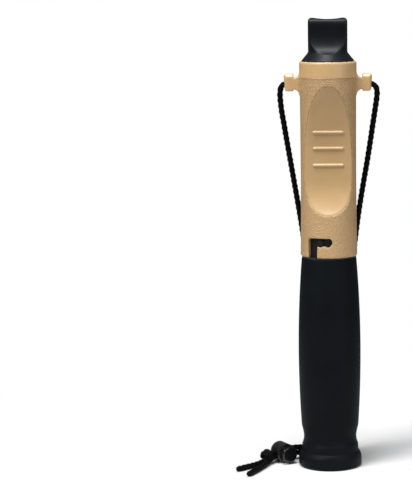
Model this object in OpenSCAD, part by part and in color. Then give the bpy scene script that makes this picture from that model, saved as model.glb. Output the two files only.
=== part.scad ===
// Grunt tube call on a neck lanyard. The call stands on its flared foot: origin at the centre of
// the foot's underside, +Z up along the tube, the thumb pad faces -Y, +X to the right.

/* [Housing] */
// Height of the housing's lower edge
housing_bottom = 122.2; // [121:0.1:124]
// Height of the collar's top rim
housing_top = 232.3; // [231:0.1:234]
// Radius of the housing at its upper end
housing_r = 15.9; // [15.4:0.1:16.4]
// How far the tube draws in at its waist
waist_depth = 0.2; // [0:0.05:0.5]
// Radius of the bore through the housing
bore_r = 13.3; // [12.9:0.1:13.6]
// Height of the cord hole in each lug
lug_z = 219.3; // [218:0.1:221]

/* [Thumb pad] */
// Distance from the axis to the deepest part of the scoop
scoop_deep = 8.8; // [8.4:0.1:9.6]
// Thickness of the pad
pad_wall = 2; // [1.6:0.1:2.4]
// Heights of the three finger ribs
rib_heights = [174.1, 183.6, 192.6]; // [172:0.1:194]
// Length of a finger rib
rib_length = 17; // [14:0.5:18]

/* [Mouthpiece] */
// Height of the mouthpiece's top
mouth_top = 256.2; // [252:0.2:262]
// Radius of the straight bite
bite_r = 11.05; // [10.5:0.05:11.5]

/* [Barrel] */
// Largest radius of the rubber grip
grip_r = 17.75; // [17:0.05:18.5]
// Height where the grip is thickest
grip_belly_z = 67; // [60:1:75]
// Radius of the foot's flange
foot_r = 18.1; // [17.5:0.1:18.5]
// Radius of the bore through the barrel
barrel_bore_r = 11.6; // [10.5:0.1:12]

/* [Bayonet] */
// Radius of the bayonet pin
pin_r = 1.7; // [1.4:0.1:1.75]
// Height of the bayonet pin
pin_z = 131; // [130.9:0.1:131.2]
// Angle of the first detent, to the left of the front
detent_angle = 18.6; // [17:0.2:20]
// Angle of the slot's vertical leg, to the left of the front
leg_angle = 36; // [34:0.5:38]

/* [Lanyard] */
// Diameter of the braided cord
cord_d = 3.2; // [2.6:0.1:3.3]
// Turn of the cord lock's button away from the front
lock_turn = 30; // [28:1:32]
// Distance that the cord lock's button can be pressed
button_travel = 2.1; // [1.5:0.1:2.1]

/* [Hidden] */

slide_gap = 0.08;
fine = 96;
lug_half = 3.2;
lug_bevel = 1.5;
lug_reach = 24.8;
lug_head_top = 225.1;
tan_plastic = [0.78, 0.66, 0.49];
black_rubber = [0.12, 0.13, 0.14];
black_plastic = [0.09, 0.09, 0.1];
steel = [0.75, 0.76, 0.78];

// Scoop: two long arcs that meet a short straight stretch at the deepest part
scoop_upper_r = 123.6;
scoop_lower_r = 32.3;
scoop_upper_z = 177.4;
scoop_lower_z = 166.4;
scoop_rise = housing_r - 0.05 - scoop_deep;
scoop_top_z = scoop_upper_z + sqrt(pow(scoop_upper_r, 2) - pow(scoop_upper_r - scoop_rise, 2));
scoop_bottom_z = scoop_lower_z - sqrt(pow(scoop_lower_r, 2) - pow(scoop_lower_r - scoop_rise, 2));
scoop_mid_z = (scoop_top_z + scoop_bottom_z) / 2;
scoop_half = (scoop_top_z - scoop_bottom_z) / 2;
seal_flat_y = -(scoop_deep - pad_wall - 0.2);
pad_inset = 0.12;
rib_r = 0.78;
rib_proud = 0.14;

// Mouthpiece and reed insert
seat_r = 14.95;
bite_flare_r = 12.2;
bite_low_z = 236.8;
scoop_lip_y = 6;
rim_r = 3.2;
seat_z = housing_top - 2.9;
plug_r = bore_r - slide_gap;
board_r = 7;
board_y = -2;
insert_z = 137.6;
insert_h = 6;
board_top = 212;
reed_hinge_z = 144;
reed_tip_z = 206;
reed_lift = 1.4;

// Barrel
shoulder_z = 121.3;
spigot_top = 137.2;
slot_top = 133.5;
bump_z = 129.1;
channel_h = slot_top - bump_z;
channel_angle = 16;
second_detent = 2.9;

// Lanyard hank, lying on the ground behind the foot
hank_near_y = 34;
hank_far_y = 80;
hank_lift = 0.6;
hank_h = 3.3;
hank_loop_r = 9.9;
hank_half_w = 6.6;
tie_y = 56;

// Cord lock: its plunger runs along the lock's own +X, the cords cross it along the lock's own +Y
lock_at = [-27.4, 6.6, 5.6];
lock_r = 5.6;
lock_back = 6;
lock_front = 4.6;
stem_r = 4.1;
head_len = 1.9;
head_r = 4.8;
knot_at = [-36.4, 1.4, 4.4];
knot_r = 4.4;

left_route = [
    [-16.6, 0, 219.3], [-21, 0, 219.3], [-24.4, 0, 219.2], [-26.2, 0.3, 217.8], [-26.9, 0.8, 215],
    [-26.9, 1.5, 211], [-26.2, 3, 204], [-25.1, 5, 197], [-23.9, 7.5, 189], [-22.5, 10.3, 180],
    [-21, 13, 170.5], [-19.5, 15.5, 161], [-17.9, 17.7, 151], [-16.2, 19.5, 140], [-14.4, 20.8, 128],
    [-12.3, 21.7, 115], [-9.8, 22.3, 101], [-7.2, 22.7, 87], [-4.7, 23, 73], [-2.4, 23.3, 59],
    [-0.5, 23.6, 45], [0.8, 24.1, 31], [1.4, 25, 19], [1.6, 26.9, 9.5], [1.65, 30, 4], [1.65, 34, 2.25]
];
right_route = [
    [16.6, 0, 219.3], [21, 0, 219.3], [24.4, 0, 219.2], [26.7, 0.3, 217.8], [27.6, 0.8, 215],
    [27.4, 1.5, 211], [26.5, 3, 204.5], [25.4, 5, 197], [24.3, 7.5, 189], [23, 10.3, 180],
    [21.5, 13, 170.5], [19.9, 15.5, 161], [18.3, 17.7, 151], [16.7, 19.5, 140], [15.2, 20.8, 128],
    [13.7, 21.7, 115], [12.2, 22.3, 101], [10.8, 22.7, 87], [9.5, 23, 73], [8.3, 23.3, 59],
    [7.2, 23.6, 45], [6.2, 24.1, 31], [5.5, 25, 19], [5.1, 26.9, 9.5], [4.95, 30, 4], [4.95, 34, 2.25]
];
left_end_route = [
    [-1.65, 34, 2.25], [-2, 29, 2.1], [-4.6, 24, 2.6], [-9.2, 19.6, 4.2], [-14.8, 15.2, 6.2],
    [-20.5, 11.1, 7.2], [-24, 8.6, 7.25], [-27.4, 6.6, 7.25], [-30.8, 4.6, 7.2], [-34, 2.8, 6],
    [-36.6, 0.8, 3.8], [-38.8, -2, 2.2], [-42.5, -6.2, 1.6], [-47.6, -11.4, 1.6], [-53.2, -16.9, 1.6]
];
right_end_route = [
    [-4.95, 34, 2.25], [-5.3, 29.6, 1.9], [-7.6, 25.2, 1.7], [-11.4, 20.8, 2], [-16, 16.2, 3],
    [-20.9, 11.6, 3.8], [-24, 8.6, 3.95], [-27.4, 6.6, 3.95], [-30.8, 4.6, 3.9], [-33.6, 2.6, 3],
    [-35.4, -0.4, 2.3], [-36.8, -4.6, 1.8], [-39, -11, 1.6], [-42.4, -19.4, 1.6], [-46.4, -28.1, 1.6]
];

// Point on a circle about the origin
function on_circle(r, angle) = [r * cos(angle), r * sin(angle)];

// Where an angle to the left of the front falls along the slot's channel, seen square on
function channel_x(angle) = housing_r * sin(channel_angle - angle);

// Points of an arc about a centre, from one angle to another
function arc(centre, r, from, to, steps) =
    [for (i = [0:steps]) centre + on_circle(r, from + (to - from) * i / steps)];

// Housing's outer radius, drawn in a little at the waist
function housing_radius(z) =
    housing_r - waist_depth * sin(180 * (z - housing_bottom) / (223 - housing_bottom))
    + 0.2 * pow(max(0, 160 - z) / (160 - housing_bottom), 2);

// Grip's outer radius, one long shallow arc
function grip_radius(z) = grip_r - (660 - sqrt(pow(660, 2) - pow(z - grip_belly_z, 2)));

// Depth of the scoop at a height, as a Y coordinate
function scoop_y(z) =
    z > scoop_upper_z ?
        -scoop_deep - scoop_upper_r + sqrt(pow(scoop_upper_r, 2) - pow(z - scoop_upper_z, 2)) :
    z < scoop_lower_z ?
        -scoop_deep - scoop_lower_r + sqrt(pow(scoop_lower_r, 2) - pow(scoop_lower_z - z, 2)) :
    -scoop_deep;

// Half the width of the scoop's outline at a height
function scoop_half_width(z) =
    sqrt(max(0, pow(scoop_rise + scoop_deep, 2) - pow(scoop_y(z), 2)));

// Front outline of the scoop, drawn in by a gap all round
function scoop_side(gap, side) = [
    for (i = [0:24])
    let (t = side * cos(180 * i / 24))
    let (z = scoop_mid_z + scoop_half * t * 0.9999)
    [side * scoop_half_width(z) * (1 - gap / 13), scoop_mid_z + (scoop_half - gap) * t]
];
function scoop_outline(gap) = concat(scoop_side(gap, 1), scoop_side(gap, -1));

// Directions for sweeping a tube along a route
function unit(v) = v / norm(v);
function heading(route, i) =
    unit(route[min(i + 1, len(route) - 1)] - route[max(i - 1, 0)]);
function across(route, i) =
    i == 0 ? unit(cross(heading(route, 0), [0.1, 1, 0.2])) :
    let (last = across(route, i - 1))
    unit(last - heading(route, i) * (last * heading(route, i)));
function ring(route, i, r, sides) =
    let (a = across(route, i), b = cross(heading(route, i), across(route, i)))
    [for (k = [0:sides - 1]) route[i] + r * (cos(360 * k / sides) * a + sin(360 * k / sides) * b)];

// Round tube along a route: rings of points, joined by quads, with flat ends
module tube(route, d, sides = 8) {
    count = len(route);
    points = [for (i = [0:count - 1]) each ring(route, i, d / 2, sides)];
    walls = [
        for (i = [0:count - 2], k = [0:sides - 1])
        let (next = (k + 1) % sides)
        [i * sides + k, i * sides + next, (i + 1) * sides + next, (i + 1) * sides + k]
    ];
    first = [for (k = [sides - 1:-1:0]) k];
    last = [for (k = [0:sides - 1]) (count - 1) * sides + k];
    polyhedron(points, concat(walls, [first], [last]), convexity = 6);
}

// Side profile of the space in front of the scoop, moved back by a distance
module scoop_profile(back) {
    face_y = back - scoop_deep;
    intersection() {
        translate([face_y - scoop_upper_r, scoop_upper_z]) circle(scoop_upper_r, $fn = 180);
        translate([-40, scoop_upper_z]) square([60, 60]);
    }
    translate([-40, scoop_lower_z])
        square([40 + face_y, scoop_upper_z - scoop_lower_z]);
    intersection() {
        translate([face_y - scoop_lower_r, scoop_lower_z]) circle(scoop_lower_r, $fn = 120);
        translate([-40, scoop_lower_z - 28]) square([60, 28]);
    }
}

// Profile in the YZ plane, drawn out evenly to both sides along X
module across_x(width) {
    translate([-width / 2, 0, 0]) rotate([90, 0, 90]) linear_extrude(width) children();
}

// Outline in the XZ plane, drawn out along Y between two depths
module along_y(front, back) {
    translate([0, back, 0]) rotate([90, 0, 0]) linear_extrude(back - front) children();
}

// Cylinder that points outwards from the axis, at an angle to the left of the front
module radial_rod(angle, z, r, inner, outer) {
    rotate([0, 0, -angle]) translate([0, -inner, z]) rotate([90, 0, 0])
        cylinder(r = r, h = outer - inner, $fn = 48);
}

// Rubber ring of round section about the axis
module o_ring(ring_r, wire_r, z) {
    translate([0, 0, z]) rotate_extrude($fn = fine)
        translate([ring_r, 0]) circle(wire_r, $fn = 32);
}

// ---- Housing --------------------------------------------------------------------------------

module housing_shell() {
    outer = [for (i = [0:20]) let (z = housing_bottom + 0.5 + 100.3 * i / 20) [housing_radius(z), z]];
    rim = arc([housing_r - 1.35, housing_top - 1.45], 1.45, 0, 70, 7);
    rotate_extrude($fn = fine)
        polygon(concat(
            [[bore_r, housing_bottom], [housing_radius(housing_bottom) - 0.5, housing_bottom]],
            outer,
            [[housing_r + 0.1, 223.1]],
            rim,
            [[seat_r, housing_top], [seat_r, seat_z], [bore_r, seat_z]]
        ));
}

// Neck of a lug, with a fillet above and below where it grows out of the tube
module lug_neck() {
    along_y(-lug_half, lug_half) difference() {
        translate([14.5, 213.1]) square([5, 12.9]);
        translate([19.5, 213.1]) circle(3.4, $fn = 48);
        translate([19.5, 226]) circle(3.4, $fn = 48);
    }
}

// Head of a lug: its front and back edges are bevelled along the top and the outer side
module lug_head() {
    flat = lug_half - lug_bevel;
    intersection() {
        along_y(-lug_half, lug_half)
            polygon([
                [19.4, 215.4], [23.4, 215.4], [24.3, 216.4],
                [lug_reach, 224.1], [23.9, lug_head_top], [19.4, lug_head_top]
            ]);
        across_x(60) polygon([
            [-lug_half, 210], [lug_half, 210], [lug_half, lug_head_top - lug_bevel],
            [flat, lug_head_top + 0.01], [-flat, lug_head_top + 0.01], [-lug_half, lug_head_top - lug_bevel]
        ]);
        translate([0, 0, 210]) linear_extrude(20) polygon([
            [15, -lug_half], [lug_reach - lug_bevel, -lug_half], [lug_reach, -flat],
            [lug_reach, flat], [lug_reach - lug_bevel, lug_half], [15, lug_half]
        ]);
    }
}

// T-shaped lug; the cord's end is held in a blind hole along X
module lug() {
    difference() {
        union() {
            lug_neck();
            lug_head();
        }
        translate([16.3, 0, lug_z]) rotate([0, 90, 0]) cylinder(r = cord_d / 2 + 0.1, h = 12, $fn = 32);
    }
}

// Outline drawn as seen from outside at an angle to the left of the front, cut towards the axis
module radial_cut(angle) {
    rotate([0, 0, -angle]) along_y(-22, -bore_r + 3) children();
}

// Inverted L slot: vertical leg, channel to the right and two detents in its lower edge
module bayonet_slot() {
    scallop_z = bump_z + 1.25;
    end_z = bump_z + channel_h / 2;
    radial_cut(leg_angle)
        polygon(concat(
            [[-3.05, housing_bottom - 1], [3.05, housing_bottom - 1], [3.05, slot_top - 0.3]],
            arc([-1.65, slot_top - 1.45], 1.4, 90, 180, 5)
        ));
    radial_cut(channel_angle)
        polygon(concat(
            [[-5.5, bump_z]],
            arc([channel_x(detent_angle), scallop_z], 1.95, 220, 320, 8),
            arc([channel_x(second_detent), scallop_z], 1.95, 220, 335, 9),
            arc([channel_x(second_detent) + 0.35, end_z], channel_h / 2, -48, 90, 10),
            [[-5.5, slot_top]]
        ));
}

module housing() {
    color(tan_plastic) difference() {
        union() {
            housing_shell();
            difference() {
                union() {
                    lug();
                    mirror([1, 0, 0]) lug();
                }
                cylinder(r = bore_r + 1, h = 300, $fn = fine);
            }
        }
        along_y(-22, -1.5) polygon(scoop_outline(0));
        bayonet_slot();
    }
}

module finger_rib(z) {
    half = rib_length / 2 - rib_r;
    translate([0, scoop_y(z) - rib_proud, z]) {
        rotate([0, 90, 0]) cylinder(r = rib_r, h = 2 * half, center = true, $fn = 32);
        for (side = [-1, 1]) translate([side * half, 0, 0]) sphere(r = rib_r, $fn = 32);
    }
}

// Scooped plate with finger ribs, and a tab at each end that stops it behind the housing's wall
module finger_pad() {
    color(tan_plastic) {
        intersection() {
            difference() {
                across_x(40) scoop_profile(pad_wall);
                across_x(41) scoop_profile(0);
            }
            along_y(-20, -1) polygon(scoop_outline(0.2));
            cylinder(r = housing_r - pad_inset, h = 300, $fn = fine);
        }
        translate([-3, -12.9, scoop_bottom_z - 2.4]) cube([6, 1.3, 6]);
        translate([-3, -13.6, scoop_bottom_z + 1.6]) cube([6, 2, 1.3]);
        translate([-3, -12.9, scoop_top_z - 3.4]) cube([6, 1.3, 6]);
        translate([-3, -14.3, scoop_top_z - 4.2]) cube([6, 2.7, 2.2]);
        for (z = rib_heights) finger_rib(z);
    }
}

// Thin rubber sleeve, flat at the front, that seals the pad's window and bears on the reed
module seal_outline(wall) {
    intersection() {
        circle(bore_r - 0.1 - wall, $fn = fine);
        translate([-20, seal_flat_y + wall]) square([40, 40]);
    }
}

module pad_seal() {
    color(black_rubber) {
        translate([0, 0, 144.6]) linear_extrude(77.4)
            difference() {
                seal_outline(0);
                seal_outline(0.6);
            }
        for (z = rib_heights)
            translate([-rib_length / 2, seal_flat_y + 0.5, z - 0.8]) cube([rib_length, 0.9, 1.6]);
    }
}

// ---- Mouthpiece and reed --------------------------------------------------------------------

// Front view of the bite: rounded corners that stand a little above the saddle between them
module bite_front() {
    corner_r = 1.8;
    corner = [bite_r - corner_r, mouth_top - corner_r];
    saddle = [for (i = [-8:8]) [-i, mouth_top - 0.8 + 0.8 * pow(i / 8, 2)]];
    polygon(concat(
        [[-16, 222], [16, 222], [16, bite_low_z], [bite_r, bite_low_z]],
        arc(corner, corner_r, 0, 90, 6),
        saddle,
        [for (point = arc(corner, corner_r, 90, 0, 6)) [-point[0], point[1]]],
        [[-bite_r, bite_low_z], [-16, bite_low_z]]
    ));
}

// Side view of the bite: a scoop for each lip below a rounded rim
module bite_side() {
    lower = arc([scoop_lip_y + 11.5, 246], 11.5, 236.5, 180, 12);
    upper = arc([scoop_lip_y + 24, 246], 24, 180, 165, 6);
    rim = arc([scoop_lip_y + 0.9 - rim_r, mouth_top - rim_r], rim_r, -12, 90, 8);
    half = concat([[16, 222], [16, 236]], lower, upper, rim);
    far_half = [for (i = [len(half) - 1:-1:0]) [-half[i][0], half[i][1]]];
    polygon(concat(half, far_half));
}

// Plug, cone and bite before the lips' scoops are cut: its round foot widens as it rises
module mouth_body() {
    rotate_extrude($fn = fine)
        polygon([
            [0, 223], [plug_r - 0.5, 223], [plug_r, 223.5], [plug_r, 225.4], [11.3, 225.4], [11.3, 227.6],
            [plug_r, 227.6], [plug_r, seat_z + 0.05], [seat_r - 0.15, seat_z + 0.05],
            [seat_r - 0.15, housing_top + 0.2], [bite_r + 0.2, bite_low_z], [bite_r, bite_low_z + 1],
            [bite_r, 239], [bite_flare_r, 246.5], [bite_flare_r, mouth_top], [0, mouth_top]
        ]);
}

module mouthpiece() {
    color(black_rubber) difference() {
        intersection() {
            mouth_body();
            along_y(-20, 20) bite_front();
            across_x(40) bite_side();
        }
        // air way: a slot through the bite that opens into the plug's bore
        translate([-3.5, -2.2, 230]) cube([7, 4.4, 30]);
        for (side = [-1, 1]) translate([side * 3.5, 0, 230]) cylinder(r = 2.2, h = 30, $fn = 32);
        translate([0, 0, 222]) cylinder(r = 8.5, h = 12, $fn = fine);
    }
}

module mouthpiece_o_ring() {
    color(black_rubber) o_ring(12.28, 0.95, 226.5);
}

// Half-round trough on a round plug that closes the bore
module tone_board() {
    color([0.86, 0.84, 0.78]) difference() {
        union() {
            translate([0, 0, insert_z]) cylinder(r = plug_r, h = insert_h, $fn = fine);
            intersection() {
                translate([0, 0, insert_z]) cylinder(r = board_r, h = board_top - insert_z, $fn = fine);
                translate([-20, board_y, 0]) cube([40, 40, 300]);
            }
        }
        translate([-3, board_y - 0.1, insert_z - 1]) cube([6, 5.6, reed_tip_z - 2 - insert_z]);
        translate([-4.7, board_y - 2.9, insert_z - 1]) cube([9.4, 2.91, 8]);
        translate([0, 0, insert_z + 2]) difference() {
            cylinder(r = plug_r + 1, h = 2, $fn = fine);
            translate([0, 0, -1]) cylinder(r = plug_r - 1.9, h = 4, $fn = fine);
        }
    }
}

module insert_o_ring() {
    color(black_rubber) o_ring(12.28, 0.95, insert_z + 3);
}

// Thin strip, clamped at its foot and standing a little off the trough towards its tip
module reed() {
    color([0.9, 0.88, 0.8]) across_x(8.6)
        polygon([
            [board_y - 0.1, 140], [board_y - 0.1, reed_hinge_z], [board_y - 0.1 - reed_lift, reed_tip_z],
            [board_y - 0.4 - reed_lift, reed_tip_z], [board_y - 0.4, reed_hinge_z], [board_y - 0.4, 140]
        ]);
}

module reed_wedge() {
    color([0.86, 0.84, 0.78]) translate([-4.6, board_y - 2.8, insert_z])
        cube([9.2, 2.25, insert_h + 0.6]);
}

// Elastic band that sets the reed's free length
module band_outline(r, front) {
    intersection() {
        circle(r, $fn = fine);
        translate([-20, front]) square([40, 40]);
    }
}

module tuning_band() {
    color(black_rubber) translate([0, 0, 146.5]) linear_extrude(2.2)
        difference() {
            band_outline(board_r + 1.3, board_y - 2);
            band_outline(board_r + 0.1, board_y - 0.85);
        }
}

// ---- Barrel ---------------------------------------------------------------------------------

module barrel_sleeve() {
    bell = arc([barrel_bore_r + 72, 17.2], 72, 180, 192.8, 8);
    color(black_plastic) difference() {
        rotate_extrude($fn = fine)
            polygon(concat(
                bell,
                [[14, 1.2], [14, shoulder_z], [plug_r, shoulder_z], [plug_r, 134.4], [11.7, 134.4],
                 [11.7, 136.2], [plug_r, 136.2], [plug_r, 136.8], [plug_r - 0.4, spigot_top],
                 [10.6, spigot_top], [10.6, 120], [barrel_bore_r, 118]]
            ));
        radial_rod(detent_angle, pin_z, pin_r, 9, 20);
    }
}

module barrel_grip() {
    belly = [for (i = [0:22]) let (z = 24 + (shoulder_z - 0.9 - 24) * i / 22) [grip_radius(z), z]];
    neck_r = 15;
    color(black_rubber) rotate_extrude($fn = fine)
        polygon(concat(
            [[14.05, 0]],
            arc([foot_r - 1.6, 1.6], 1.6, -90, 0, 6),
            arc([foot_r - 6, 4.6], 6, 0, 46, 6),
            [[neck_r + 1.1, 12.6], [neck_r + 0.45, 14.4], [neck_r + 0.1, 16.2],
             [neck_r + 0.1, 18.2], [neck_r + 0.55, 20.6]],
            belly,
            arc([grip_radius(shoulder_z) - 0.9, shoulder_z - 0.9], 0.9, 0, 90, 5),
            [[14.05, shoulder_z]]
        ));
}

module barrel_o_ring() {
    color(black_rubber) o_ring(12.48, 0.75, 135.3);
}

module detent_gasket() {
    color(black_rubber) translate([0, 0, shoulder_z]) difference() {
        cylinder(r = 15.3, h = housing_bottom - shoulder_z - 0.05, $fn = fine);
        translate([0, 0, -1]) cylinder(r = 13.5, h = 3, $fn = fine);
    }
}

module bayonet_pin() {
    color(black_plastic) radial_rod(detent_angle, pin_z, pin_r, 11.2, 15.3);
}

// ---- Lanyard --------------------------------------------------------------------------------

module lanyard_left() {
    color(black_plastic) tube(left_route, cord_d);
}

module lanyard_right() {
    color(black_plastic) tube(right_route, cord_d);
}

module lanyard_left_end() {
    color(black_plastic) tube(left_end_route, cord_d);
}

module lanyard_right_end() {
    color(black_plastic) tube(right_end_route, cord_d);
}

// Outer shape of the two doubled cords, with a round loop at the far end
module lanyard_hank() {
    color(black_plastic) translate([0, 0, hank_lift]) linear_extrude(hank_h) {
        translate([-hank_half_w, hank_near_y])
            square([2 * hank_half_w, hank_far_y - hank_near_y]);
        translate([0, hank_far_y]) circle(hank_loop_r, $fn = 64);
    }
}

module hank_tie() {
    color(black_rubber) difference() {
        translate([-hank_half_w - 0.7, tie_y - 2, 0]) cube([2 * hank_half_w + 1.4, 4, hank_h + 1.2]);
        translate([-hank_half_w - 0.05, tie_y - 3, hank_lift - 0.05])
            cube([2 * hank_half_w + 0.1, 6, hank_h + 0.1]);
    }
}

module lanyard_knot() {
    color(black_plastic) translate(knot_at) sphere(r = knot_r, $fn = 32);
}

// Lock's own frame: +X towards the button, +Y along the cords
module in_lock() {
    translate(lock_at) rotate([0, 0, lock_turn - 90]) children();
}

module stadium_hole(width, height, length) {
    spread = (height - width) / 2;
    translate([-width / 2, -length / 2, -spread]) cube([width, length, 2 * spread]);
    for (side = [-1, 1]) translate([0, 0, side * spread]) rotate([90, 0, 0])
        cylinder(r = width / 2, h = length, center = true, $fn = 32);
}

module cord_lock_body() {
    color(black_plastic) in_lock() difference() {
        rotate([0, 90, 0]) rotate_extrude($fn = 64)
            polygon(concat(
                [[0, -lock_back]],
                arc([lock_r - 1.4, 1.4 - lock_back], 1.4, -90, 0, 6),
                [[lock_r, lock_front - 0.6], [lock_r - 0.6, lock_front], [0, lock_front]]
            ));
        translate([1.4 - lock_back, 0, 0]) rotate([0, 90, 0])
            cylinder(r = stem_r + slide_gap, h = 30, $fn = 64);
        stadium_hole(cord_d + 0.4, 6.8, 20);
    }
}

module cord_lock_button() {
    head_at = lock_front + button_travel + 0.2;
    hole_w = cord_d + button_travel + 0.5;
    head_outline = concat([[0, 0], [head_r - 0.3, 0]], arc([head_r - 0.9, 1], 0.9, 0, 90, 5), [[0, head_len]]);
    color(black_plastic) in_lock() difference() {
        union() {
            translate([-2.4, 0, 0]) rotate([0, 90, 0])
                cylinder(r = stem_r, h = head_at + 2.5, $fn = 64);
            translate([head_at, 0, 0]) rotate([0, 90, 0])
                rotate_extrude($fn = 64) polygon(head_outline);
        }
        translate([hole_w / 2 - cord_d / 2 - 0.2, 0, 0]) cube([hole_w, 12, 6.8], center = true);
        translate([-2.5, 0, 0]) rotate([0, 90, 0]) cylinder(r = 3, h = 0.7, $fn = 48);
    }
}

// Helix about the lock's own X axis
module cord_lock_spring() {
    start = 1.7 - lock_back;
    turns = 3;
    steps = 14;
    helix = [
        for (i = [0:turns * steps])
        [start + 2.2 * i / (turns * steps), 2.6 * cos(360 * i / steps), 2.6 * sin(360 * i / steps)]
    ];
    color(steel) in_lock() tube(helix, 0.5, 6);
}

housing();
finger_pad();
pad_seal();
mouthpiece();
mouthpiece_o_ring();
tone_board();
insert_o_ring();
reed();
reed_wedge();
tuning_band();
barrel_sleeve();
barrel_grip();
barrel_o_ring();
detent_gasket();
bayonet_pin();
lanyard_left();
lanyard_right();
lanyard_left_end();
lanyard_right_end();
lanyard_hank();
hank_tie();
lanyard_knot();
cord_lock_body();
cord_lock_button();
cord_lock_spring();
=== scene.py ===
"""Grunt tube call on a braided neck lanyard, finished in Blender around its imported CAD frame."""

import math

import bmesh
import bpy
from mathutils import Matrix, Vector


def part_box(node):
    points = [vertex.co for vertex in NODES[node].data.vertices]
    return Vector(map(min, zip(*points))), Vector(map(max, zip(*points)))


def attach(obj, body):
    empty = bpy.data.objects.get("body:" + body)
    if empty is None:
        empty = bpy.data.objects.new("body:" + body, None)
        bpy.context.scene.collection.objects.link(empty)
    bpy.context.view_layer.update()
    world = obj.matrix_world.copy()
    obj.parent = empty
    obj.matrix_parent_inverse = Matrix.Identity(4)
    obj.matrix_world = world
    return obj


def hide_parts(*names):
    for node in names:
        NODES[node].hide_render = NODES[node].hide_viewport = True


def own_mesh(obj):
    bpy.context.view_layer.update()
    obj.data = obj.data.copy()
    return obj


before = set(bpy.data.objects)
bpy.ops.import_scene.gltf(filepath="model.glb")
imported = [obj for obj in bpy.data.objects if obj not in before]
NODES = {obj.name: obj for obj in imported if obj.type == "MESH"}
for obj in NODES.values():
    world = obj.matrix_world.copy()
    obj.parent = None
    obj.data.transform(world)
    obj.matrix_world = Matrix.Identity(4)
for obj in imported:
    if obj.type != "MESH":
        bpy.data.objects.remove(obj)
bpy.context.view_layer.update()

bl_info = {
    "name": "Grunt Tube Call",
    "version": (1, 0, 0),
    "blender": (4, 5, 0),
    "location": "3D View > Sidebar > Grunt Call",
    "description": "Builds the finish of a grunt tube call, piece by piece",
    "category": "Object",
}

MM = 0.001
TURN = 2 * math.pi

# Where the collar begins, how far it stands out, and the radii between which its surface lies
HOUSING_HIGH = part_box("housing")[1]
COLLAR_Z = HOUSING_HIGH.z - 9.2 * MM
COLLAR_STEP = 0.12 * MM
COLLAR_IN = 15.5 * MM
COLLAR_OUT = 17 * MM
PAD_LOW, PAD_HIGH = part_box("finger_pad")
LUG_ROOT = 16.2 * MM

# The camera's shift across, its look downwards and its roll
CAMERA_SHIFT = -0.2985
CAMERA_PITCH = math.radians(8.38)
CAMERA_ROLL = math.radians(-0.37)

# The knot: its direction, its length and how often the cord goes round
KNOT_AXIS = Vector((-0.83, -0.55, -0.12)).normalized()
KNOT_LENGTH = 4.4 * MM
KNOT_TURNS = 2.2
KNOT_STEPS = 72

# Only the front of the tube has a scoop, and only the skin near its rim rolls over
SCOOP_FRONT_Y = -4 * MM
RIM_SKIN = 1.2 * MM

# Where each strand of the lanyard runs, in millimetres: from its lug down behind the call, out
# to the hank, and from the hank through the cord lock to its free end
LEFT_DOWN = [
    [-16.6, 0, 219.3], [-21, 0, 219.3], [-24.4, 0, 219.2], [-26.2, 0.3, 217.8], [-26.9, 0.8, 215],
    [-26.9, 1.5, 211], [-26.2, 3, 204], [-25.1, 5, 197], [-23.9, 7.5, 189], [-22.5, 10.3, 180],
    [-21, 13, 170.5], [-19.5, 15.5, 161], [-17.9, 17.7, 151], [-16.2, 19.5, 140], [-14.4, 20.8, 128],
    [-12.3, 21.7, 115], [-9.8, 22.3, 101], [-7.2, 22.7, 87], [-4.7, 23, 73], [-2.4, 23.3, 59],
    [-0.5, 23.6, 45], [0.8, 24.1, 31], [1.4, 25, 19], [1.6, 26.9, 9.5], [1.65, 30, 4], [1.65, 34, 2.25],
]
RIGHT_DOWN = [
    [16.6, 0, 219.3], [21, 0, 219.3], [24.4, 0, 219.2], [26.7, 0.3, 217.8], [27.6, 0.8, 215],
    [27.4, 1.5, 211], [26.5, 3, 204.5], [25.4, 5, 197], [24.3, 7.5, 189], [23, 10.3, 180],
    [21.5, 13, 170.5], [19.9, 15.5, 161], [18.3, 17.7, 151], [16.7, 19.5, 140], [15.2, 20.8, 128],
    [13.7, 21.7, 115], [12.2, 22.3, 101], [10.8, 22.7, 87], [9.5, 23, 73], [8.3, 23.3, 59],
    [7.2, 23.6, 45], [6.2, 24.1, 31], [5.5, 25, 19], [5.1, 26.9, 9.5], [4.95, 30, 4], [4.95, 34, 2.25],
]
LEFT_END = [
    [-1.65, 34, 2.25], [-2, 29, 2.1], [-4.6, 24, 2.6], [-9.2, 19.6, 4.2], [-14.8, 15.2, 6.2],
    [-20.5, 11.1, 7.2], [-24, 8.6, 7.25], [-27.4, 6.6, 7.25], [-30.8, 4.6, 7.2], [-34, 2.8, 6],
    [-36.6, 0.8, 3.8], [-38.8, -2, 2.2], [-42.5, -6.2, 1.6], [-47.6, -11.4, 1.6], [-53.2, -16.9, 1.6],
]
RIGHT_END = [
    [-4.95, 34, 2.25], [-5.3, 29.6, 1.9], [-7.6, 25.2, 1.7], [-11.4, 20.8, 2], [-16, 16.2, 3],
    [-20.9, 11.6, 3.8], [-24, 8.6, 3.95], [-27.4, 6.6, 3.95], [-30.8, 4.6, 3.9], [-33.6, 2.6, 3],
    [-35.4, -0.4, 2.3], [-36.8, -4.6, 1.8], [-39, -11, 1.6], [-42.4, -19.4, 1.6], [-46.4, -28.1, 1.6],
]


# ---- What a user would change ---------------------------------------------------------------


def tone(name, description, default):
    return bpy.props.FloatVectorProperty(
        name=name, description=description, default=default, subtype="COLOR", min=0, max=1, size=3
    )


def size(name, description, default):
    return bpy.props.FloatProperty(
        name=name, description=description, default=default * MM, unit="LENGTH", subtype="DISTANCE"
    )


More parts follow.
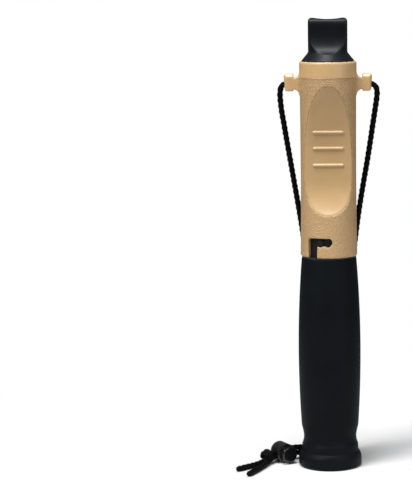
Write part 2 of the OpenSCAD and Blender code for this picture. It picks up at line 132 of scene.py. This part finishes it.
class CallColours(bpy.types.PropertyGroup):
    tan: tone("Tan shell", "Colour of the moulded housing and thumb pad", (0.47, 0.303, 0.143))
    rubber: tone("Grip rubber", "Colour of the soft-touch grip", (0.0040, 0.0052, 0.0064))
    mouth: tone("Mouthpiece rubber", "Colour of the mouthpiece", (0.0045, 0.0065, 0.0080))
    plastic: tone("Hard plastic", "Colour of the barrel, pin and cord lock", (0.0060, 0.0062, 0.0068))
    nylon: tone("Nylon cord", "Colour of the braided lanyard", (0.0021, 0.0021, 0.0025))
    board: tone("Tone board", "Colour of the reed insert's plastic", (0.62, 0.58, 0.48))
    reed: tone("Reed film", "Colour of the reed", (0.72, 0.68, 0.56))
    steel: tone("Steel", "Colour of the lock's spring", (0.56, 0.57, 0.58))


class CallSizes(bpy.types.PropertyGroup):
    cord: size("Cord", "Diameter of the lanyard cord", 3.2)
    braid_pitch: size("Braid pitch", "Length of one plait along the cord", 3.3)
    braid_step: size("Braid step", "Distance between the rings of the cord's mesh", 0.42)
    hank_fold: size("Hank fold", "Distance from the axis to the middle of the hank's fold", 80)
    grain: size("Grain", "Width of one pebble of the housing's grain", 0.62)
    shell_voxel: size("Shell softness", "How far the housing's edges are rounded", 0.34)
    pad_voxel: size("Pad softness", "How far the thumb pad's edges are rounded", 0.28)
    pad_growth: size("Pad growth", "How far the thumb pad closes the seam around it", 0.27)
    pad_travel: size("Pad travel", "Distance that the thumb pad can be pressed in", 1.8)
    mouth_voxel: size("Mouthpiece softness", "How far the mouthpiece's edges are rounded", 0.3)
    tube_r: size("Tube radius", "Radius of the housing at its waist", 15.75)
    rim_roll: size("Rim roll", "Width over which the scoop's rim rolls over", 1.1)
    scoop_deep: size("Scoop depth", "Distance from the axis to the scoop's floor", 8.8)
    scoop_upper_r: size("Scoop upper radius", "Radius of the scoop's long upper run", 123.6)
    scoop_upper_z: size("Scoop upper height", "Height where the upper run begins", 177.4)
    scoop_lower_r: size("Scoop lower radius", "Radius of the scoop's lower end", 32.3)
    scoop_lower_z: size("Scoop lower height", "Height where the lower end begins", 166.4)
    lens: size("Focal length", "Focal length of the camera", 170.8)
    camera_distance: size("Camera distance", "Camera's distance in front of the call", 1100)
    camera_height: size("Camera height", "Camera's height above the ground", 287)


# ---- Helpers --------------------------------------------------------------------------------


def colours():
    return bpy.context.scene.call_colours


def sizes():
    return bpy.context.scene.call_sizes


def deselect():
    if bpy.context.mode != "OBJECT":
        bpy.ops.object.mode_set(mode="OBJECT")
    bpy.ops.object.select_all(action="DESELECT")


def activate(piece):
    deselect()
    piece.select_set(True)
    bpy.context.view_layer.objects.active = piece


def apply_modifiers(piece):
    activate(piece)
    for modifier in list(piece.modifiers):
        bpy.ops.object.modifier_apply(modifier=modifier.name)


def apply_place(piece):
    activate(piece)
    bpy.ops.object.transform_apply(location=True, rotation=True, scale=True)


def linked(name, mesh):
    piece = bpy.data.objects.new(name, mesh)
    bpy.context.scene.collection.objects.link(piece)
    return piece


def mesh_from(name, points, faces):
    mesh = bpy.data.meshes.new(name)
    mesh.from_pydata(points, [], faces)
    mesh.update()
    return linked(name, mesh)


def paint(piece, material):
    piece.data.materials.clear()
    piece.data.materials.append(material)


def paint_node(node, material):
    """Gives a carried-over CAD node a better finish; its mesh stays as it is."""
    target = NODES[node]
    if not target.data.materials:
        target.data.materials.append(material)
    for slot in target.material_slots:
        slot.link = "OBJECT"
        slot.material = material


def merged_copy(name, node):
    """A copy of a CAD node, its loose triangles merged into one skin."""
    piece = linked(name, NODES[node].data.copy())
    activate(piece)
    bpy.ops.object.mode_set(mode="EDIT")
    bpy.ops.mesh.select_all(action="SELECT")
    bpy.ops.mesh.remove_doubles(threshold=0.001 * MM)
    bpy.ops.object.mode_set(mode="OBJECT")
    if piece.data.has_custom_normals:
        bpy.ops.mesh.customdata_custom_splitnormals_clear()
    return piece


def softened(name, node, voxel, passes, share=1.0, above=None):
    """A copy of a CAD node whose sharp edges are rounded, as a mould leaves them."""
    piece = merged_copy(name, node)
    remesh = piece.modifiers.new("Remesh", "REMESH")
    remesh.mode = "VOXEL"
    remesh.voxel_size = voxel
    apply_modifiers(piece)
    group = piece.vertex_groups.new(name="rounded")
    chosen = [v.index for v in piece.data.vertices if above is None or v.co.z > above]
    group.add(chosen, 1.0, "REPLACE")
    smooth = piece.modifiers.new("Smooth", "SMOOTH")
    smooth.factor = 0.5
    smooth.iterations = passes
    smooth.vertex_group = group.name
    if share < 1:
        fewer = piece.modifiers.new("Decimate", "DECIMATE")
        fewer.ratio = share
    apply_modifiers(piece)
    piece.vertex_groups.clear()
    bpy.ops.object.shade_smooth()
    return piece


def scoop_depth(z):
    """Where the floor of the thumb scoop lies at a height: two long arcs joined by a flat."""
    scoop = sizes()
    if z > scoop.scoop_upper_z:
        r, away = scoop.scoop_upper_r, z - scoop.scoop_upper_z
    elif z < scoop.scoop_lower_z:
        r, away = scoop.scoop_lower_r, scoop.scoop_lower_z - z
    else:
        return -scoop.scoop_deep
    return -scoop.scoop_deep - r + math.sqrt(max(0, r * r - away * away))


def round_scoop_rim(piece):
    """Rolls over the edge where the scoop's floor runs out into the round tube."""
    wide = sizes().rim_roll
    for vertex in piece.data.vertices:
        at = vertex.co
        if at.y > SCOOP_FRONT_Y:
            continue
        radius = math.hypot(at.x, at.y)
        behind_floor = at.y - scoop_depth(at.z)
        inside_tube = sizes().tube_r - radius
        if min(behind_floor, inside_tube) < RIM_SKIN:
            near = max(0, 1 - abs(behind_floor - inside_tube) / wide)
            push = wide / 4 * near ** 2
            at.y += 0.6 * push
            at.x -= 0.8 * push * at.x / radius


# ---- Finishes -------------------------------------------------------------------------------


class Finish:
    """A material under construction: its nodes are added and joined with short calls."""

    def __init__(self, name):
        self.material = bpy.data.materials.new(name)
        self.material.use_nodes = True
        self.tree = self.material.node_tree
        self.shader = self.tree.nodes["Principled BSDF"]
        self.coordinates = self.add("ShaderNodeTexCoord").outputs["Object"]

    def add(self, kind, **inputs):
        node = self.tree.nodes.new(kind)
        for key, value in inputs.items():
            name = key.replace("_", " ")
            socket = node.inputs[name]
            if isinstance(value, bpy.types.NodeSocket):
                self.tree.links.new(value, socket)
            else:
                socket.default_value = value
        return node

    def join(self, output, socket):
        self.tree.links.new(output, socket)

    def set(self, **inputs):
        for key, value in inputs.items():
            self.shader.inputs[key.replace("_", " ")].default_value = value

    def noise(self, scale, detail=2.0, roughness=0.5, vector=None):
        node = self.add("ShaderNodeTexNoise", Scale=scale, Detail=detail, Roughness=roughness)
        self.join(vector or self.coordinates, node.inputs["Vector"])
        return node.outputs["Fac"]

    def cells(self, scale, vector=None, feature="F1"):
        node = self.add("ShaderNodeTexVoronoi", Scale=scale)
        node.feature = feature
        self.join(vector or self.coordinates, node.inputs["Vector"])
        return node.outputs["Distance"]

    def ranged(self, value, low, high, to_low, to_high):
        node = self.add("ShaderNodeMapRange")
        self.join(value, node.inputs["Value"])
        node.inputs["From Min"].default_value = low
        node.inputs["From Max"].default_value = high
        node.inputs["To Min"].default_value = to_low
        node.inputs["To Max"].default_value = to_high
        return node.outputs["Result"]

    def sums(self, kind, first, second):
        node = self.add("ShaderNodeMath")
        node.operation = kind
        for value, socket in ((first, node.inputs[0]), (second, node.inputs[1])):
            if isinstance(value, bpy.types.NodeSocket):
                self.join(value, socket)
            else:
                socket.default_value = value
        return node.outputs[0]

    def axis(self, letter):
        node = self.add("ShaderNodeSeparateXYZ")
        self.join(self.coordinates, node.inputs[0])
        return node.outputs[letter]

    def shade(self, colour, factor, darkest, lightest):
        """The base colour, made darker or lighter by a factor from 0 to 1."""
        ramp = self.add("ShaderNodeValToRGB")
        ramp.color_ramp.elements[0].color = [channel * darkest for channel in colour] + [1]
        ramp.color_ramp.elements[1].color = [min(1, channel * lightest) for channel in colour] + [1]
        self.join(factor, ramp.inputs["Fac"])
        self.join(ramp.outputs["Color"], self.shader.inputs["Base Color"])

    def bump(self, value, distance, strength=1.0, below=None):
        node = self.add("ShaderNodeBump", Distance=distance, Strength=strength)
        self.join(value, node.inputs["Height"])
        if below is not None:
            self.join(below, node.inputs["Normal"])
        return node.outputs["Normal"]

    def rough(self, value, low, high):
        self.join(self.ranged(value, 0.3, 0.7, low, high), self.shader.inputs["Roughness"])

    def done(self, normal=None):
        if normal is not None:
            self.join(normal, self.shader.inputs["Normal"])
        return self.material


def tan_gloss(f, specular):
    """The sheen of the tan plastic, with a little light passing through its skin."""
    f.set(IOR=1.5, Specular_IOR_Level=specular, Subsurface_Weight=0.04, Subsurface_Scale=0.002)
    f.shader.inputs["Subsurface Radius"].default_value = (1, 0.55, 0.3)


def grained_shell():
    """Tan plastic, smooth on the collar and the lugs and pebbled like leather elsewhere."""
    f = Finish("tan_shell_grained")
    pebble = f.cells(1 / sizes().grain, feature="SMOOTH_F1")
    stretched = f.add("ShaderNodeMapping")
    stretched.inputs["Scale"].default_value = (1, 1, 0.55)
    f.join(f.coordinates, stretched.inputs["Vector"])
    scuff = f.noise(1500, 3, 0.65, stretched.outputs["Vector"])
    below_collar = f.ranged(f.axis("Z"), COLLAR_Z - 0.15 * MM, COLLAR_Z + 0.15 * MM, 1, 0)
    on_tube = f.ranged(f.sums("ABSOLUTE", f.axis("X"), 0), LUG_ROOT, LUG_ROOT + 1 * MM, 1, 0.15)
    grained = f.sums("MULTIPLY", below_collar, on_tube)
    grain = f.sums("MULTIPLY", f.sums("ADD", pebble, f.sums("MULTIPLY", scuff, 0.9)), grained)
    broad = f.noise(60, 3)
    tint = f.sums("ADD", f.sums("MULTIPLY", grain, 0.55), f.sums("MULTIPLY", broad, 0.5))
    f.shade(colours().tan, f.ranged(tint, 0.25, 0.95, 0, 1), 1.24, 0.84)
    f.rough(f.noise(400), 0.34, 0.44)
    tan_gloss(f, 0.75)
    return f.done(f.bump(grain, 0.3 * MM, 1.0))


def smooth_shell():
    """Tan plastic with the faint unevenness of a polished mould."""
    f = Finish("tan_shell_smooth")
    broad = f.noise(90, 3)
    fine = f.noise(2400, 2)
    f.shade(colours().tan, f.ranged(broad, 0.3, 0.7, 0, 1), 0.95, 1.03)
    f.rough(fine, 0.32, 0.4)
    tan_gloss(f, 0.7)
    return f.done(f.bump(fine, 0.01 * MM, 0.5))


def grip_finish():
    """Matt soft-touch rubber, a little worn to a shine where the hand and the foot rub."""
    f = Finish("grip_rubber")
    fine = f.noise(3200, 3, 0.6)
    cloud = f.noise(45, 4, 0.6)
    f.shade(colours().rubber, f.ranged(cloud, 0.3, 0.7, 0, 1), 0.8, 1.25)
    foot_wear = f.ranged(f.axis("Z"), 1 * MM, 9 * MM, 0.30, 0.5)
    f.join(f.sums("ADD", foot_wear, f.ranged(cloud, 0.3, 0.7, -0.05, 0.07)), f.shader.inputs["Roughness"])
    f.set(IOR=1.4, Specular_IOR_Level=0.07)
    return f.done(f.bump(fine, 0.03 * MM, 0.5))


def mouth_finish():
    """Smooth rubber with a low sheen."""
    f = Finish("mouth_rubber")
    fine = f.noise(2600, 2)
    cloud = f.noise(110, 3)
    f.shade(colours().mouth, f.ranged(cloud, 0.3, 0.7, 0, 1), 0.85, 1.2)
    f.rough(cloud, 0.4, 0.46)
    f.set(IOR=1.45, Specular_IOR_Level=0.23)
    return f.done(f.bump(fine, 0.012 * MM, 0.4))


def plastic_finish(name, colour, low, high):
    """Hard moulded plastic; low and high are the ends of its roughness."""
    f = Finish(name)
    fine = f.noise(1800, 2)
    f.shade(colour, f.noise(150, 3), 0.85, 1.15)
    f.rough(f.noise(500, 3), low, high)
    return f.done(f.bump(fine, 0.008 * MM, 0.4))


def seal_finish():
    """Moulded rubber of the seals, with a dusting of talc."""
    f = Finish("seal_rubber")
    talc = f.noise(700, 5, 0.7)
    f.shade(colours().rubber, f.ranged(talc, 0.4, 0.8, 0, 1), 0.9, 3.2)
    f.rough(talc, 0.55, 0.7)
    return f.done(f.bump(f.noise(2500, 2), 0.02 * MM, 0.5))


def reed_finish():
    """Frosted film, a little see-through."""
    f = Finish("reed_film")
    f.shade(colours().reed, f.noise(300, 2), 0.92, 1.05)
    f.rough(f.noise(900, 2), 0.22, 0.34)
    f.set(Subsurface_Weight=0.3, Subsurface_Scale=0.0006)
    return f.done()


def steel_finish():
    """Drawn spring wire."""
    f = Finish("spring_steel")
    f.shade(colours().steel, f.noise(900, 3), 0.8, 1.1)
    f.rough(f.noise(2500, 2), 0.22, 0.38)
    f.set(Metallic=1.0)
    return f.done()


def braid_finish():
    """Nylon braid: the fibres of each plait run along the cord's own UV map; shade is painted into its
    grooves and light onto the crests of its plaits.
    """
    f = Finish("lanyard_nylon")
    relief_shade = f.add("ShaderNodeAttribute")
    relief_shade.attribute_name = "relief_shade"
    along = f.add("ShaderNodeUVMap")
    along.uv_map = "along"
    fibre = f.add("ShaderNodeTexWave", Scale=5.0, Distortion=2.0, Detail=2.0)
    fibre.bands_direction = "DIAGONAL"
    f.join(along.outputs["UV"], fibre.inputs["Vector"])
    # painted shade and light: the braid's relief darkens the colour in its grooves and lightens it on the
    # plaits' crests
    f.shade(colours().nylon, relief_shade.outputs["Fac"], 0.3, 1.7)
    f.set(Roughness=0.6, Sheen_Weight=0.008, Sheen_Roughness=0.4, Specular_IOR_Level=0.06)
    return f.done(f.bump(fibre.outputs["Fac"], 0.04 * MM, 0.7))


def floor_finish():
    """Pale seamless paper."""
    f = Finish("paper_floor")
    f.shade((0.62, 0.62, 0.62), f.noise(3, 3), 0.985, 1.0)
    f.rough(f.noise(40, 2), 0.7, 0.8)
    return f.done()


# ---- Cord geometry --------------------------------------------------------------------------


def eased(points, steps=12):
    """A smooth line through given points."""
    points = [Vector(point) for point in points]
    ends = [2 * points[0] - points[1]] + points + [2 * points[-1] - points[-2]]
    line = []
    for i in range(1, len(ends) - 2):
        a, b, c, d = ends[i - 1:i + 3]
        for k in range(steps):
            t = k / steps
            line.append(0.5 * (
                2 * b + (c - a) * t + (2 * a - 5 * b + 4 * c - d) * t ** 2 + (3 * b - a - 3 * c + d) * t ** 3
            ))
    return line + [points[-1]]


def spaced(line, step):
    """The same line with its points an equal distance apart."""
    travelled = [0.0]
    for a, b in zip(line, line[1:]):
        travelled.append(travelled[-1] + (b - a).length)
    count = max(2, round(travelled[-1] / step))
    even, i = [], 0
    for k in range(count + 1):
        want = travelled[-1] * k / count
        while i < len(line) - 2 and travelled[i + 1] < want:
            i += 1
        part = (want - travelled[i]) / max(1e-12, travelled[i + 1] - travelled[i])
        even.append(line[i].lerp(line[i + 1], part))
    return even


def plait(turn, along, plaits=4):
    """Relief of the braid, from 0 in its grooves to 1 on a plait."""
    left = (plaits * turn + along) % 1
    right = (plaits * turn - along) % 1
    return (math.sin(math.pi * left) * math.sin(math.pi * right)) ** 0.7


def braided(name, line, diameter, sides=20, melted=True):
    """Mesh of a braided cord along a line, with both ends closed."""
    pitch = sizes().braid_pitch
    points, faces, relief_shade, places = [], [], [], []
    last = None
    for i, centre in enumerate(line):
        ahead = (line[min(i + 1, len(line) - 1)] - line[max(i - 1, 0)]).normalized()
        side = last - ahead * last.dot(ahead) if last else ahead.cross(Vector((0.1, 1, 0.2)))
        side.normalize()
        last = side
        other = ahead.cross(side)
        along = i * (line[1] - line[0]).length
        from_end = (len(line) - 1 - i) * (line[1] - line[0]).length
        taper = min(1, 0.55 + 0.45 * math.sqrt(min(1, from_end / (0.45 * diameter)))) if melted else 1
        for k in range(sides):
            high = plait(k / sides, along / pitch)
            r = diameter / 2 * (0.86 + 0.22 * high) * taper
            spin = TURN * k / sides
            points.append(centre + r * (math.cos(spin) * side + math.sin(spin) * other))
            relief_shade.append(high)
            places.append((k / sides * 4, along / pitch))
    rings = len(line)
    for i in range(rings - 1):
        for k in range(sides):
            n = (k + 1) % sides
            faces.append((i * sides + k, i * sides + n, (i + 1) * sides + n, (i + 1) * sides + k))
    for ring, turned in ((0, True), (rings - 1, False)):
        middle = len(points)
        outward = (line[ring] - line[ring - 1] if ring else line[0] - line[1]).normalized()
        points.append(line[ring] + outward * 0.18 * diameter)
        relief_shade.append(0.2)
        places.append((0, 0))
        for k in range(sides):
            a, b = ring * sides + k, ring * sides + (k + 1) % sides
            faces.append((b, a, middle) if turned else (a, b, middle))
    piece = mesh_from(name, points, faces)
    # the relief is kept on the mesh for the nylon finish, which paints shade into the grooves and light onto
    # the crests from it
    height = piece.data.attributes.new("relief_shade", "FLOAT", "POINT")
    height.data.foreach_set("value", relief_shade)
    uv = piece.data.uv_layers.new(name="along")
    for loop in piece.data.loops:
        uv.data[loop.index].uv = places[loop.vertex_index]
    activate(piece)
    bpy.ops.object.shade_smooth()
    return piece


def strand_line(down, end):
    """A strand's line: down behind the call, out along the hank, round its fold and back."""
    fold = sizes().hank_fold / MM
    gap = (down[-1][0] - end[0][0]) / 2
    wide = 3 * gap if gap < 3 else gap * 5 / 3
    out_x, level = down[-1][0], down[-1][2]
    hank = [[out_x, y, level] for y in (42, 50, 58, 66)]
    hank.append([out_x + 0.35 * (wide - out_x), 74, level])
    hank += [
        [wide * math.cos(math.radians(a)), fold + wide * math.sin(math.radians(a)), level]
        for a in range(-20, 201, 20)
    ]
    hank.append([-out_x - 0.35 * (wide - out_x), 74, level])
    hank += [[-out_x, y, level] for y in (66, 58, 50, 42)]
    return [Vector(point) * MM for point in eased(down + hank + end)]


# ---- Operators ------------------------------------------------------------------------------


class CALL_OT_camera(bpy.types.Operator):
    """Sets the camera in front of the call"""

    bl_idname = "call.camera"
    bl_label = "Camera"

    def execute(self, context):
        data = bpy.data.cameras.new("camera")
        data.lens = sizes().lens / MM
        data.sensor_fit = "HORIZONTAL"
        data.sensor_width = 36
        data.clip_start = 0.05
        data.shift_x = CAMERA_SHIFT
        data.dof.use_dof = False
        camera = linked("camera", data)
        camera.location = (0, -sizes().camera_distance, sizes().camera_height)
        camera.rotation_euler = (TURN / 4 - CAMERA_PITCH, 0, 0)
        roll = Matrix.Rotation(CAMERA_ROLL, 4, "Z")
        camera.matrix_world = (
            Matrix.Translation(camera.location) @ camera.rotation_euler.to_matrix().to_4x4() @ roll
        )
        context.scene.camera = camera
        return {"FINISHED"}


class CALL_OT_lanyard(bpy.types.Operator):
    """Braids the two strands of the lanyard, their hank, knot and tie"""

    bl_idname = "call.lanyard"
    bl_label = "Lanyard"

    def execute(self, context):
        nylon = braid_finish()
        diameter = sizes().cord
        knot = self.knot(nylon, diameter)
        tie = self.tie()
        strands = (
            ("left", LEFT_DOWN, LEFT_END, -1),
            ("right", RIGHT_DOWN, RIGHT_END, 1),
        )
        for side, down, end, sign in strands:
            line = spaced(strand_line(down, end), sizes().braid_step)
            piece = braided("strand_" + side, line, diameter)
            paint(piece, nylon)
            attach(piece, "tube")
            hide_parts("lanyard_" + side, "lanyard_" + side + "_end", "lanyard_hank")
        return {"FINISHED"}

    def knot(self, nylon, diameter):
        """Both strands are wrapped and pulled tight beside the cord lock."""
        low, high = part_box("lanyard_knot")
        centre = (low + high) / 2
        up = (Vector((0, 0, 1)) - KNOT_AXIS * KNOT_AXIS.z).normalized()
        side = KNOT_AXIS.cross(up)
        wrap = []
        for k in range(KNOT_STEPS + 1):
            t = k / KNOT_STEPS
            spin = TURN * (0.1 + KNOT_TURNS * t)
            out = (1.2 + 1.7 * math.sin(math.pi * t) ** 0.35) * MM
            round_axis = math.cos(spin) * up + math.sin(spin) * side
            wrap.append(centre + KNOT_AXIS * (t - 0.5) * KNOT_LENGTH + out * round_axis)
        piece = braided("knot", spaced(wrap, sizes().braid_step), diameter * 0.9, sides=16)
        paint(piece, nylon)
        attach(piece, "tube")
        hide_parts("lanyard_knot")
        return piece

    def tie(self):
        """A flat rubber band, rounded at its corners."""
        low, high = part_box("hank_tie")
        bpy.ops.mesh.primitive_cube_add(size=1)
        piece = bpy.context.object
        piece.name = "tie"
        piece.scale = high - low
        piece.location = (low + high) / 2
        apply_place(piece)
        bpy.ops.object.mode_set(mode="EDIT")
        bpy.ops.mesh.select_mode(type="FACE")
        bpy.ops.mesh.select_all(action="DESELECT")
        edit = bmesh.from_edit_mesh(piece.data)
        for face in edit.faces:
            face.select = abs(face.normal.y) > 0.9
        bmesh.update_edit_mesh(piece.data)
        bpy.ops.mesh.inset(thickness=0.72 * MM)
        bpy.ops.mesh.bridge_edge_loops()
        bpy.ops.mesh.select_mode(type="EDGE")
        bpy.ops.mesh.select_all(action="DESELECT")
        edit = bmesh.from_edit_mesh(piece.data)
        for edge in edit.edges:
            a, b = edge.verts
            edge.select = abs((a.co - b.co).normalized().y) > 0.9
        bmesh.update_edit_mesh(piece.data)
        bpy.ops.mesh.bevel(offset=0.65 * MM, segments=4, affect="EDGES")
        bpy.ops.object.mode_set(mode="OBJECT")
        soft = piece.modifiers.new("Bevel", "BEVEL")
        soft.width = 0.2 * MM
        soft.segments = 3
        soft.limit_method = "ANGLE"
        apply_modifiers(piece)
        bpy.ops.object.shade_smooth()
        paint(piece, seal_finish())
        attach(piece, "tube")
        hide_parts("hank_tie")
        return piece


class CALL_OT_cord_lock(bpy.types.Operator):
    """Finishes the glossy cord lock and its spring"""

    bl_idname = "call.cord_lock"
    bl_label = "Cord lock"

    def execute(self, context):
        glossy = plastic_finish("lock_gloss", colours().plastic, 0.06, 0.12)
        paint_node("cord_lock_body", glossy)
        paint_node("cord_lock_button", glossy)
        paint_node("cord_lock_spring", steel_finish())
        return {"FINISHED"}


class CALL_OT_housing(bpy.types.Operator):
    """Moulds the tan housing with its collar, lugs, pad window and bayonet slot"""

    bl_idname = "call.housing"
    bl_label = "Housing"

    def execute(self, context):
        piece = softened("housing_shell", "housing", sizes().shell_voxel, 2, 0.5)
        for vertex in piece.data.vertices:
            out = Vector((vertex.co.x, vertex.co.y, 0))
            if vertex.co.z > COLLAR_Z and COLLAR_IN < out.length < COLLAR_OUT:
                vertex.co += out.normalized() * COLLAR_STEP
        round_scoop_rim(piece)
        paint(piece, grained_shell())
        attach(piece, "tube")
        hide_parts("housing")
        return {"FINISHED"}


class CALL_OT_finger_pad(bpy.types.Operator):
    """Moulds the scooped thumb pad with its three ribs"""

    bl_idname = "call.finger_pad"
    bl_label = "Thumb pad"

    def execute(self, context):
        piece = softened("thumb_pad", "finger_pad", sizes().pad_voxel, 2)
        middle = (PAD_LOW.z + PAD_HIGH.z) / 2
        half = (PAD_HIGH - PAD_LOW) / 2
        for vertex in piece.data.vertices:
            vertex.co.x *= 1 + sizes().pad_growth / half.x
            vertex.co.z += (vertex.co.z - middle) * sizes().pad_growth / half.z
        round_scoop_rim(piece)
        paint(piece, smooth_shell())
        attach(piece, "pad")
        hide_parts("finger_pad")
        return {"FINISHED"}


class CALL_OT_mouthpiece(bpy.types.Operator):
    """Moulds the rubber mouthpiece"""

    bl_idname = "call.mouthpiece"
    bl_label = "Mouthpiece"

    def execute(self, context):
        above = HOUSING_HIGH.z + 0.6 * MM
        piece = softened("mouthpiece_bite", "mouthpiece", sizes().mouth_voxel, 24, above=above)
        paint(piece, mouth_finish())
        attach(piece, "mouthpiece")
        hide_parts("mouthpiece")
        return {"FINISHED"}


class CALL_OT_barrel(bpy.types.Operator):
    """Finishes the barrel's grip, sleeve and bayonet pin"""

    bl_idname = "call.barrel"
    bl_label = "Barrel"

    def execute(self, context):
        paint_node("barrel_grip", grip_finish())
        hard = plastic_finish("barrel_plastic", colours().plastic, 0.28, 0.4)
        paint_node("barrel_sleeve", hard)
        paint_node("bayonet_pin", hard)
        return {"FINISHED"}


class CALL_OT_seals(bpy.types.Operator):
    """Finishes the rubber seals"""

    bl_idname = "call.seals"
    bl_label = "Seals"

    def execute(self, context):
        rubber = seal_finish()
        for node in ("mouthpiece_o_ring", "insert_o_ring", "barrel_o_ring", "detent_gasket", "tuning_band"):
            paint_node(node, rubber)
        self.sleeve(rubber)
        return {"FINISHED"}

    def sleeve(self, rubber):
        """The sleeve behind the thumb pad: a merged copy of the CAD seal that stays with the tube."""
        piece = merged_copy("pad_sleeve", "pad_seal")
        bpy.ops.object.shade_smooth_by_angle(angle=math.radians(30))
        paint(piece, rubber)
        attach(piece, "tube")
        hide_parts("pad_seal")
        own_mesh(piece)


class CALL_OT_reed_insert(bpy.types.Operator):
    """Finishes the tone board, its wedge and the reed"""

    bl_idname = "call.reed_insert"
    bl_label = "Reed insert"

    def execute(self, context):
        ivory = plastic_finish("insert_plastic", colours().board, 0.3, 0.42)
        paint_node("tone_board", ivory)
        paint_node("reed_wedge", ivory)
        paint_node("reed", reed_finish())
        return {"FINISHED"}


class CALL_OT_stage(bpy.types.Operator):
    """Lays the pale floor and hangs the soft studio lights"""

    bl_idname = "call.stage"
    bl_label = "Stage"

    def execute(self, context):
        deselect()
        bpy.ops.mesh.primitive_circle_add(vertices=96, radius=0.28, fill_type="NGON")
        floor = bpy.context.object
        floor.name = "floor"
        paint(floor, floor_finish())
        self.world(context)
        self.sun("key", (-0.85, -0.75, 1.15), 26, 2.75, (1.0, 0.985, 0.965))
        self.sun("fill", (1.0, -0.9, 0.5), 60, 1.0, (1.0, 0.985, 0.97))
        self.sun("top", (-0.1, -0.3, 1.4), 22, 2.9, (0.97, 0.985, 1.0))
        context.scene.view_settings.view_transform = "Standard"
        return {"FINISHED"}

    def sun(self, name, place, spread, power, colour):
        """A softbox so far away that it lights the whole floor evenly."""
        data = bpy.data.lights.new(name, "SUN")
        data.angle = math.radians(spread)
        data.energy = power
        data.color = colour
        light = linked(name, data)
        light.location = place
        light.rotation_euler = Vector(place).to_track_quat("Z", "Y").to_euler()

    def world(self, context):
        """Pale all round; it looks brighter than the light that it gives."""
        world = bpy.data.worlds.new("studio")
        world.use_nodes = True
        context.scene.world = world
        nodes, links = world.node_tree.nodes, world.node_tree.links
        background = nodes["Background"]
        background.inputs["Color"].default_value = (1, 1, 1, 1)
        path = nodes.new("ShaderNodeLightPath")
        strength = nodes.new("ShaderNodeMapRange")
        strength.inputs["To Min"].default_value = 0.15
        strength.inputs["To Max"].default_value = 1.0
        links.new(path.outputs["Is Camera Ray"], strength.inputs["Value"])
        links.new(strength.outputs["Result"], background.inputs["Strength"])


STEPS = (
    CALL_OT_camera,
    CALL_OT_lanyard,
    CALL_OT_cord_lock,
    CALL_OT_housing,
    CALL_OT_finger_pad,
    CALL_OT_mouthpiece,
    CALL_OT_barrel,
    CALL_OT_seals,
    CALL_OT_reed_insert,
    CALL_OT_stage,
)


class CALL_PT_panel(bpy.types.Panel):
    """Sidebar with the call's pieces, colours and sizes"""

    bl_idname = "CALL_PT_panel"
    bl_label = "Grunt Call"
    bl_space_type = "VIEW_3D"
    bl_region_type = "UI"
    bl_category = "Grunt Call"

    def draw(self, context):
        for step in STEPS:
            self.layout.operator(step.bl_idname)
        for group in (context.scene.call_colours, context.scene.call_sizes):
            box = self.layout.box()
            for name in group.__annotations__:
                box.prop(group, name)


CLASSES = (CallColours, CallSizes) + STEPS + (CALL_PT_panel,)


def register():
    for item in CLASSES:
        bpy.utils.register_class(item)
    bpy.types.Scene.call_colours = bpy.props.PointerProperty(type=CallColours)
    bpy.types.Scene.call_sizes = bpy.props.PointerProperty(type=CallSizes)


def unregister():
    del bpy.types.Scene.call_sizes
    del bpy.types.Scene.call_colours
    for item in reversed(CLASSES):
        bpy.utils.unregister_class(item)


def main():
    register()
    for step in STEPS:
        family, name = step.bl_idname.split(".")
        getattr(getattr(bpy.ops, family), name)()


if __name__ == "__main__":
    main()
